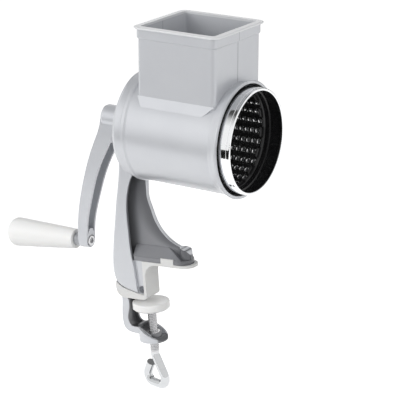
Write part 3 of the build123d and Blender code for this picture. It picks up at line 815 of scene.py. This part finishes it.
@dataclass
class GratingDrum:
    """Turning drum: punched sheet wall, bright front band, end plate and shaft."""

    radius: float = 42.9 * MM
    sheet: float = 0.8 * MM
    lip_sheet: float = 0.35 * MM
    rear: float = -95.0 * MM
    front: float = -17.0 * MM
    rows: int = 30
    cols: int = 13
    pitch: float = 5.2 * MM
    margin: float = 8.0 * MM
    hole_along: float = 1.45 * MM
    hole_round: float = 1.55 * MM
    tooth: float = 0.8 * MM
    overhang: float = 0.75 * MM
    body: str = "crank"

    def _cell(self) -> tuple[np.ndarray, np.ndarray, np.ndarray, np.ndarray]:
        """Work out one punched cell about its own hole.

        The edge of the cell is a rectangle of 12 points, two spans along the axis and four round
        it. Rings of points run from there to an oval hole: P(s) = (1 - s) edge + s hole. On one
        side of the hole the ring rises by tooth * w and leans over the hole by overhang * w, with
        w = ease(s) * max(0, -sin a) ** 0.7 and a the bearing of the point.

        Returns:
            Stations, arc distances, heights and sheet thicknesses, as (ring, 12).
        """
        half_u = self.pitch / 2
        half_v = self.radius * math.pi / self.rows
        x = np.array([1, 1, 1, 1, 1, 0, -1, -1, -1, -1, -1, 0], float)
        y = np.array([-1, -0.5, 0, 0.5, 1, 1, 1, 0.5, 0, -0.5, -1, -1], float)
        bearing = np.arctan2(y, x)
        s = np.array([0.0, 0.42, 0.72, 1.0])[:, None]
        rise = smooth_step((s - 0.25) / 0.75) * np.maximum(0.0, -np.sin(bearing)) ** 0.7
        along = (1 - s) * x * half_u + s * self.hole_along * np.cos(bearing)
        across = (1 - s) * y * half_v + s * self.hole_round * np.sin(bearing) + self.overhang * rise
        height = self.tooth * rise
        thick = self.sheet + (self.lip_sheet - self.sheet) * smooth_step(s) + 0.0 * bearing
        return along, across, height, thick

    def _punched(self) -> tuple[np.ndarray, np.ndarray, np.ndarray]:
        """Lay the punched cell over the whole wall and close its plain ends.

        Returns:
            Points, quads and the material number of each quad: 0 outside, 1 painted inside shade, 2 cut
            lip.
        """
        along, across, height, thick = self._cell()
        row = np.arange(self.rows)
        first = self.rear + self.margin + np.where(row % 2 == 1, self.pitch / 2, 0.0)
        centre = first[:, None] + np.arange(self.cols)[None, :] * self.pitch
        turn = row * 2 * math.pi / self.rows
        u = centre[:, :, None, None] + along
        a = turn[:, None, None, None] + across / self.radius + 0.0 * u
        outer = self.radius + height + 0.0 * u
        inner = outer - thick
        skin = np.stack([self._round(u, a, outer), self._round(u, a, inner)], axis=2)
        rings, spots = along.shape
        cells = skin.reshape(-1, 2, rings, spots, 3)
        local = grid_quads(rings, spots, True)
        per = rings * spots
        lips = np.stack([np.arange(spots), (np.arange(spots) + 1) % spots], -1) + (rings - 1) * spots
        rim = np.stack([lips[:, 0], lips[:, 1], lips[:, 1] + per, lips[:, 0] + per], -1)
        block = np.concatenate([local, local[:, ::-1] + per, rim])
        lip_ring = np.arange(len(local)) // spots >= rings - 2
        kind = np.concatenate([np.zeros(len(local), int), np.where(lip_ring, 2, 1), np.full(spots, 2)])
        count = len(cells)
        quads = (block[None] + (np.arange(count) * 2 * per)[:, None, None]).reshape(-1, 4)
        marks = np.tile(kind, count)
        points = cells.reshape(-1, 3)
        plain_points, plain_quads, plain_marks = self._plain_ends(first, turn)
        quads = np.concatenate([quads, plain_quads + len(points)])
        points = np.concatenate([points, plain_points])
        marks = np.concatenate([marks, plain_marks])
        points, quads = merged(points, quads)
        return points, quads, marks

    def _plain_ends(self, first: np.ndarray,
                    turn: np.ndarray) -> tuple[np.ndarray, np.ndarray, np.ndarray]:
        """Fill the unpunched strip at both ends of each row and the sheet's two cut ends.

        Each strip is the cylinder (u, radius sin a, radius cos a) between two rows of cells.

        Args:
            first: Station of each row's first hole.
            turn: Bearing of each row.

        Returns:
            Points, quads and the material number of each quad.
        """
        points, quads, marks = [], [], []
        arcs = np.linspace(-1, 1, 5) * math.pi / self.rows
        total = 0
        for start, angle in zip(first, turn):
            low = start - self.pitch / 2
            high = low + self.cols * self.pitch
            back = np.arange(low, self.rear + 0.4 * self.pitch, -self.pitch / 2)
            rear = np.append(back, self.rear)[::-1]
            ahead = np.arange(high, self.front - 0.2 * self.pitch, self.pitch / 2)
            front = np.append(ahead, self.front)
            for stations in (rear, front):
                u, a = np.meshgrid(stations, angle + arcs, indexing="ij")
                for radius, flip in ((self.radius, False), (self.radius - self.sheet, True)):
                    points.append(self._round(u, a, np.full_like(u, radius)).reshape(-1, 3))
                    q = grid_quads(len(stations), len(arcs), False) + total
                    quads.append(q[:, ::-1] if flip else q)
                    # The inner skin takes material 1, the painted shade inside the drum.
                    marks.append(np.full(len(q), 1 if flip else 0))
                    total += u.size
            for station, flip in ((self.rear, False), (self.front, True)):
                ends = np.stack([self._round(np.full(5, station), angle + arcs, np.full(5, radius))
                                 for radius in (self.radius - self.sheet, self.radius)])
                points.append(ends.reshape(-1, 3))
                q = grid_quads(2, 5, False) + total
                quads.append(q[:, ::-1] if flip else q)
                # The cut ends take that painted shade too.
                marks.append(np.ones(len(q), int))
                total += 10
        return np.concatenate(points), np.concatenate(quads), np.concatenate(marks)

    @staticmethod
    def _round(u: np.ndarray, angle: np.ndarray, radius: np.ndarray) -> np.ndarray:
        """Point at a station, a bearing from the top towards -Y, and a radius."""
        return to_part(u, -radius * np.sin(angle), radius * np.cos(angle))

    def build(self, effects: Effects) -> None:
        """Make the punched wall and dress the other drum pieces.

        Args:
            effects: Shared node groups.
        """
        points, quads, marks = self._punched()
        wall = make_piece("drum_punched_wall", points, quads, self.body)
        for finish in (SHEET_STEEL, DRUM_INSIDE_SHADE, LIP_STEEL):
            wall.data.materials.append(finish.build(effects))
        wall.data.polygons.foreach_set("material_index", marks.astype(np.int32))
        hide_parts("drum_wall")
        band = BandWithInsideShade("chrome band, painted shade inside", CHROME)
        dress({"drum_front_band": band.build(effects), "drum_end_plate": SHEET_STEEL.build(effects),
               "drum_shaft": STEEL.build(effects)})


@dataclass
class Handle:
    """Turning handle, with the finishes of the crank that carries it."""

    arm_face: float = -105.4 * MM
    length: float = 71.6 * MM
    height: float = 12.4 * MM
    small: float = 8.9 * MM
    large: float = 13.2 * MM
    bore: float = 4.15 * MM
    pocket: float = 6.2 * MM
    pocket_depth: float = 12.4 * MM
    near_round: float = 0.9 * MM
    end_round: float = 7.0 * MM
    flat: float = 6.6 * MM
    around: int = 72
    body: str = "grip"

    def _profile(self) -> np.ndarray:
        """Outline of the handle from its bore round the outside and back, as (distance, radius).

        The taper follows small + (large - small) * t ** 0.9; the free end is a quarter of an
        ellipse and the arm end a small round.
        """
        turn = np.linspace(0, math.pi / 2, 7)
        edge = self.near_round
        near = np.stack([edge * (1 - np.sin(turn)), self.small - edge * (1 - np.cos(turn))], -1)[::-1]
        t = np.linspace(0.02, 1, 24)
        end = self.length - self.end_round
        taper = np.stack([edge + (end - edge) * t,
                          self.small + (self.large - self.small) * t ** 0.9], -1)
        turn = np.linspace(0, math.pi / 2, 14)[1:]
        round_end = np.stack([end + self.end_round * np.sin(turn),
                              self.flat + (self.large - self.flat) * np.cos(turn)], -1)
        inside = np.array([[self.length, self.pocket], [self.length - self.pocket_depth, self.pocket],
                           [self.length - self.pocket_depth, self.bore], [0.0, self.bore]])
        return np.concatenate([[[0.0, self.small - edge]], near[1:], taper, round_end, inside])

    def _turned(self) -> tuple[np.ndarray, np.ndarray]:
        """Turn the outline about the handle's axis: (x, r cos a, r sin a).

        Returns:
            Points and quads of the closed surface.
        """
        profile = self._profile()
        angle = np.arange(self.around) * 2 * math.pi / self.around
        d, a = profile[:, 0][:, None], angle[None, :]
        r = profile[:, 1][:, None]
        rings = np.stack([self.arm_face - d + 0 * a, r * np.cos(a), self.height + r * np.sin(a)], -1)
        closed = np.concatenate([rings, rings[:1]])
        return merged(closed.reshape(-1, 3), grid_quads(len(closed), self.around, True))

    def build(self, effects: Effects) -> None:
        """Make the handle and dress the crank.

        Args:
            effects: Shared node groups.
        """
        points, quads = self._turned()
        grip = make_piece("handle_turned", points, quads, self.body)
        white = WHITE.build(effects)
        grip.data.materials.append(white)
        sharpen(grip, 40.0)
        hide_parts("handle_grip")
        steel = STEEL.build(effects)
        dress({"grip_plug": white, "crank_arm": ARM_PAINT.build(effects),
               "hub_insert": BRASS.build(effects), "thrust_washer": NYLON.build(effects),
               "handle_bolt": steel, "bolt_washer": steel, "grip_nut": steel, "grip_sleeve": steel,
               "grip_spacer": COLLAR_PAINT.build(effects)})


def sharpen(piece: bpy.types.Object, angle: float) -> None:
    """Keep edges sharper than an angle in degrees crisp and the rest smooth."""
    piece.data.set_sharp_from_angle(angle=math.radians(angle))


@dataclass
class ClampScrew:
    """Threaded rod whose lower end is bent into a triangular finger loop."""

    radius: float = 4.0 * MM
    root: float = 3.45 * MM
    pitch: float = 1.5 * MM
    top: float = -44.8 * MM
    head_top: float = -38.9 * MM
    thread_end: float = -84.0 * MM
    loop_top: float = -87.0 * MM
    loop_base: float = -114.5 * MM
    half: float = 17.2 * MM
    tail: tuple[float, float] = (-6.3 * MM, -96.0 * MM)
    corner: float = 7.0 * MM
    around: int = 40
    neck: float = 3.0
    lead_in: float = 0.25 * MM
    head: tuple[tuple[float, float], ...] = ((0.0, 4.8), (0.4, 5.2), (2.7, 5.2), (2.9, 4.9), (2.95, 3.0))
    turn: float = math.radians(-17.0)
    body: str = "screw"

    def _place(self, x: np.ndarray, y: np.ndarray, z: np.ndarray) -> np.ndarray:
        """Turn a point about the screw's axis and move it there."""
        c, s = math.cos(self.turn), math.sin(self.turn)
        return np.stack([SCREW_X + c * x - s * y, s * x + c * y, z + 0 * x], -1)

    def _bearings(self) -> np.ndarray:
        """Even bearings round the rod and the wire."""
        return np.arange(self.around) * 2 * math.pi / self.around

    def _rod(self) -> np.ndarray:
        """Head, neck and threaded rod in one surface.

        Radius of the thread at height z and bearing a: root + (radius - root) * ridge(z / pitch
        - a / 2 pi), where ridge is a rounded triangle wave, faded out at both ends.

        Returns:
            Rings of points from the head down.
        """
        angle = self._bearings()
        z = np.arange(self.top, self.thread_end, -self.pitch / 8)
        phase = (z[:, None] / self.pitch - angle[None, :] / (2 * math.pi)) % 1.0
        ridge = smooth_step(1 - np.abs(2 * phase - 1) * 1.15)
        fade = smooth_step((self.top - z) / (2 * MM)) * smooth_step((z - self.thread_end) / (2.5 * MM))
        crest = self.root + (self.radius - self.root) * ridge
        plain = self.radius - self.lead_in * (z[:, None] > -60 * MM)
        r = crest * fade[:, None] + plain * (1 - fade[:, None])
        down, wide = np.array(self.head).T
        hz = np.append(self.head_top - down * MM, self.top + 0.3 * MM)
        hr = np.append(wide, self.neck) * MM
        z = np.concatenate([hz, z, [self.thread_end - 0.6 * MM, self._loop_path()[0, 1]]])
        r = np.concatenate([hr[:, None] + 0 * angle, r, np.full((2, self.around), self.radius)])
        return self._place(r * np.cos(angle), r * np.sin(angle), z[:, None] + 0 * angle)

    def _loop_path(self) -> np.ndarray:
        """Middle line of the bent wire: straight runs joined by arcs of one radius.

        An arc about centre c goes from p to q as c + (sin((1 - t) w) p + sin(t w) q) / sin w,
        where w is its sweep and t runs from 0 to 1.

        Returns:
            Points (x, z) in the plane of the loop.
        """
        corners = np.array([[0, self.loop_top], [self.half, self.loop_base],
                            [-self.half, self.loop_base], list(self.tail)])
        path = []
        previous = np.array([0.0, self.loop_top + 10 * MM])
        for here, after in zip(corners[:-1], corners[1:]):
            a = (previous - here) / np.linalg.norm(previous - here)
            b = (after - here) / np.linalg.norm(after - here)
            half_angle = math.acos(float(np.clip(a @ b, -1, 1))) / 2
            reach = self.corner / math.tan(half_angle)
            mid = (a + b) / np.linalg.norm(a + b)
            centre = here + mid * self.corner / math.sin(half_angle)
            p, q = here + a * reach - centre, here + b * reach - centre
            sweep = math.acos(float(np.clip(p @ q / self.corner ** 2, -1, 1)))
            t = np.linspace(0, 1, 12)[:, None]
            arc = (np.sin((1 - t) * sweep) * p + np.sin(t * sweep) * q) / math.sin(sweep)
            path.append(centre + arc)
            previous = here
        path.append(np.array([self.tail]))
        return np.concatenate(path)

    def _loop(self) -> np.ndarray:
        """Sweep a circle along the loop: P + r (cos a N + sin a Y), N normal to the path.

        Returns:
            Rings of points along the wire.
        """
        line = self._loop_path()
        step = np.gradient(line, axis=0)
        step /= np.linalg.norm(step, axis=1, keepdims=True)
        normal = np.stack([step[:, 1], -step[:, 0]], -1)
        angle = self._bearings()
        x = line[:, 0][:, None] - self.radius * normal[:, 0][:, None] * np.cos(angle)
        z = line[:, 1][:, None] - self.radius * normal[:, 1][:, None] * np.cos(angle)
        y = self.radius * np.sin(angle) + 0 * x
        return self._place(x, y, z)

    def build(self, effects: Effects) -> None:
        """Make the threaded rod and its chromed loop.

        Args:
            effects: Shared node groups.
        """
        points, quads = capped(self._rod())
        rod = make_piece("screw_threaded_rod", points, quads, self.body)
        rod.data.materials.append(STEEL.build(effects))
        sharpen(rod, 50.0)
        points, quads = capped(self._loop())
        loop = make_piece("screw_finger_loop", points, quads, self.body)
        loop.data.materials.append(WIRE_CHROME.build(effects))
        sharpen(loop, 50.0)
        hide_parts("clamp_screw")


class Body:
    """Housing, stand, bracket, pad and their small pieces, all of them as the frame has them."""

    def build(self, effects: Effects) -> None:
        """Dress every piece.

        Args:
            effects: Shared node groups.
        """
        steel = STEEL.build(effects)
        dress({"stand": CHANNEL_SHADE_PAINT.build(effects), "clamp_bracket": BRACKET_PAINT.build(effects),
               "drum_housing": HOUSING_PAINT.build(effects), "mouth_seal": SEAL.build(effects),
               "shaft_bush": BRONZE.build(effects), "jaw_liner": SOFT_WHITE.build(effects),
               "pressure_pad": WHITE.build(effects), "pad_ring": steel, "bracket_screws": steel,
               "clamp_nut": steel})


# ---------------------------------------------------------------------------------------------
# Studio
# ---------------------------------------------------------------------------------------------

@dataclass
class Studio:
    """Plain pale floor, soft lamps and the camera."""

    floor_height: float = -0.1190
    eye: tuple[float, float, float] = (0.8500, -1.2582, 0.4804)
    azimuth: float = 33.131
    elevation: float = 15.606
    roll: float = -3.987
    lens: float = 165.1
    ceiling: tuple = ((0.6, 1.0), (0.76, 0.6), (0.84, 0.1), (0.92, 0.03), (0.95, 0.3))
    flags: tuple = (
        ("flag_front", ((-3.0, -0.50, -0.1185), (2.5, -0.50, -0.1185),
                        (2.5, -1.90, -0.1185), (-3.0, -1.90, -0.1185))),
        ("flag_left", ((-1.15, 0.45, -0.118), (-0.72, 0.72, -0.118),
                       (-0.72, 0.72, 1.1), (-1.15, 0.45, 1.1))),
        ("flag_right", ((-0.30, 1.02, -0.118), (0.25, 1.30, -0.118),
                        (0.25, 1.30, 1.1), (-0.30, 1.02, 1.1))),
    )
    reach: float = 12.0
    glow: float = 0.62
    room: float = 0.42
    lamps: list = field(default_factory=lambda: [
        ("key", (-0.9, -1.7, 0.85), (1.3, 1.1), 22.5, False),
        ("fill", (1.7, -0.5, 0.6), (0.9, 0.9), 7.0, False),
        ("top", (-0.2, 0.1, 1.9), (0.9, 0.9), 1.5, False),
    ])

    def _camera(self) -> None:
        """Place the camera by its bearing, height and roll."""
        a, e, r = (math.radians(v) for v in (self.azimuth, self.elevation, self.roll))
        back = Vector((math.sin(a) * math.cos(e), -math.cos(a) * math.cos(e), math.sin(e)))
        level = Vector((math.cos(a), math.sin(a), 0.0))
        up = back.cross(level)
        right = level * math.cos(r) + up * math.sin(r)
        top = back.cross(right)
        cam = bpy.data.objects.new("camera", bpy.data.cameras.new("camera"))
        turn = Matrix((right, top, back)).transposed().to_4x4()
        cam.matrix_world = Matrix.Translation(self.eye) @ turn
        cam.data.lens = self.lens
        cam.data.sensor_width = 36.0
        cam.data.clip_start, cam.data.clip_end = 0.05, 60.0
        bpy.context.scene.collection.objects.link(cam)
        bpy.context.scene.camera = cam

    def _lights(self) -> None:
        """Hang the soft lamps round the object, each turned to it."""
        aim = Vector((0.0, 0.0, 0.08))
        for name, place, size, power, mirrored in self.lamps:
            lamp = bpy.data.lights.new(name, "AREA")
            lamp.shape = "RECTANGLE"
            lamp.size, lamp.size_y = size
            lamp.energy = power
            holder = bpy.data.objects.new(name, lamp)
            holder.location = place
            holder.visible_glossy = mirrored
            holder.rotation_euler = (aim - Vector(place)).to_track_quat("-Z", "Y").to_euler()
            bpy.context.scene.collection.objects.link(holder)

    def _floor(self) -> None:
        """Lay a wide pale floor that renders white to the camera and keeps the shadow."""
        mesh = bpy.data.meshes.new("floor")
        h, z = self.reach, self.floor_height
        mesh.from_pydata([(-h, -h, z), (h, -h, z), (h, h, z), (-h, h, z)], [], [(0, 1, 2, 3)])
        floor = bpy.data.objects.new("floor", mesh)
        bpy.context.scene.collection.objects.link(floor)
        mat, g, shader = new_material("pale floor")
        path = g.add("LightPath")
        seen = g.math("MAXIMUM", path.outputs["Is Camera Ray"], path.outputs["Is Glossy Ray"])
        tone = g.blend(seen, (0.7, 0.7, 0.7, 1), (0.97, 0.97, 0.97, 1))
        g.feed(shader.inputs["Base Color"], tone)
        g.feed(shader.inputs["Emission Color"], g.blend(seen, (0, 0, 0, 1), (1, 1, 1, 1)))
        shader.inputs["Emission Strength"].default_value = self.glow
        shader.inputs["Roughness"].default_value = 0.9
        shader.inputs["Specular IOR Level"].default_value = 0.0
        mesh.materials.append(mat)

    def _flags(self) -> None:
        """Stand black cards where only bright metal and gloss can see them, for its dark lines."""
        mat, _, shader = new_material("black card")
        shader.inputs["Base Color"].default_value = (0.01, 0.01, 0.01, 1)
        shader.inputs["Roughness"].default_value = 1.0
        shader.inputs["Specular IOR Level"].default_value = 0.0
        for name, corners in self.flags:
            mesh = bpy.data.meshes.new(name)
            mesh.from_pydata(corners, [], [(0, 1, 2, 3)])
            card = bpy.data.objects.new(name, mesh)
            bpy.context.scene.collection.objects.link(card)
            mesh.materials.append(mat)
            for ray in ("camera", "diffuse", "transmission", "volume_scatter", "shadow"):
                setattr(card, "visible_" + ray, False)

    def _world(self) -> None:
        """Fill the room with even light, white where the camera sees it.

        Gloss sees a studio: white from the floor up to a soft edge, a dark gap overhead and a
        grey ceiling.
        """
        world = bpy.data.worlds.new("studio")
        world.use_nodes = True
        g = Graph(world.node_tree)
        back = world.node_tree.nodes["Background"]
        path = g.add("LightPath")
        seen = g.math("MAXIMUM", path.outputs["Is Camera Ray"], path.outputs["Is Transmission Ray"])
        up = g.add("SeparateXYZ", {0: g.add("TexCoord").outputs["Generated"]}).outputs["Z"]
        ramp = g.add("ValToRGB", {"Fac": up})
        stops = ramp.color_ramp.elements
        stops[0].position, stops[0].color = 0.0, (1, 1, 1, 1)
        stops[1].position, stops[1].color = 1.0, (0.3, 0.3, 0.3, 1)
        for place, level in self.ceiling:
            stops.new(place).color = (level, level, level, 1)
        even = (self.room, self.room, self.room, 1)
        base = g.blend(path.outputs["Is Glossy Ray"], even, ramp.outputs["Color"])
        g.feed(back.inputs["Color"], g.blend(seen, base, (1, 1, 1, 1)))
        back.inputs["Strength"].default_value = 1.0
        bpy.context.scene.world = world

    def build(self) -> None:
        """Set up the whole studio."""
        self._camera()
        self._lights()
        self._floor()
        self._flags()
        self._world()
        bpy.context.scene.view_settings.view_transform = "Standard"
        log.info("studio ready")


def main() -> None:
    """Build and dress the whole object in order."""
    logging.basicConfig(level=logging.INFO, format="%(message)s")
    effects = Effects()
    for assembly in (GratingDrum(), Handle(), ClampScrew(), Body()):
        assembly.build(effects)
        log.info("finished %s", type(assembly).__name__)
    Studio().build()


if __name__ == "__main__":
    main()
